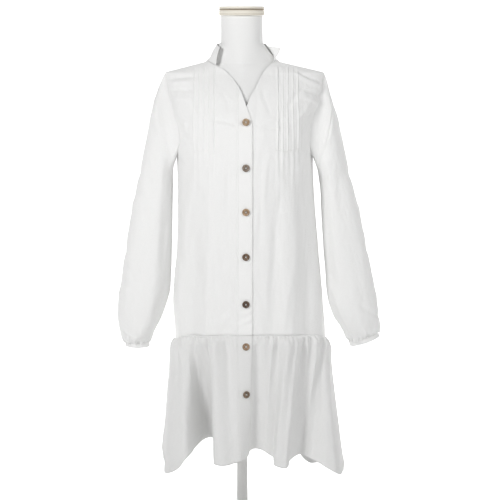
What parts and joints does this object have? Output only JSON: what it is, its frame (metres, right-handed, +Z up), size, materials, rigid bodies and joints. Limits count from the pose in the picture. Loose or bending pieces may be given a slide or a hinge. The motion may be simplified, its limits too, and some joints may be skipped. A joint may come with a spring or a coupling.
{
  "type": "shirt dress on a dress form",
  "caption": "Long-sleeved buttoned shirt dress with pin tucks, stand collar and gathered skirt tier, worn on a limbless dress form with a post and round foot.",
  "frame": {"origin": "centre of the foot's underside, on the floor, on the axis of the post and the neck", "axes": "+Z up; -Y the way the dress faces; +X to the viewer's right from the front"},
  "size_m": [0.6062, 0.348, 1.251],
  "materials": {
    "cotton": "white cotton voile, plain weave, softly creased",
    "cotton_band": "white cotton voile, two layers, topstitched",
    "button": "mottled brown shell, satin",
    "form_cover": "smooth white jersey",
    "cap_trim": "cream cloth-covered cap",
    "stand": "satin white"
  },
  "bodies": {
    "root": {"bodice_front_left": "cotton", "bodice_front_right": "cotton", "bodice_back": "cotton", "button_band_bodice": "cotton_band", "collar_stand": "cotton_band", "sleeve_left": "cotton", "sleeve_right": "cotton", "cuff_left": "cotton_band", "cuff_right": "cotton_band", "skirt_front_left": "cotton", "skirt_front_right": "cotton", "skirt_back": "cotton", "button_band_skirt": "cotton_band", "button_1": "button", "button_2": "button", "button_3": "button", "button_4": "button", "button_5": "button", "button_6": "button", "button_7": "button", "form_body": "form_cover", "form_neck_cap": "cap_trim", "stand_post": "stand", "stand_foot": "stand"}
  },
  "joints": []
}
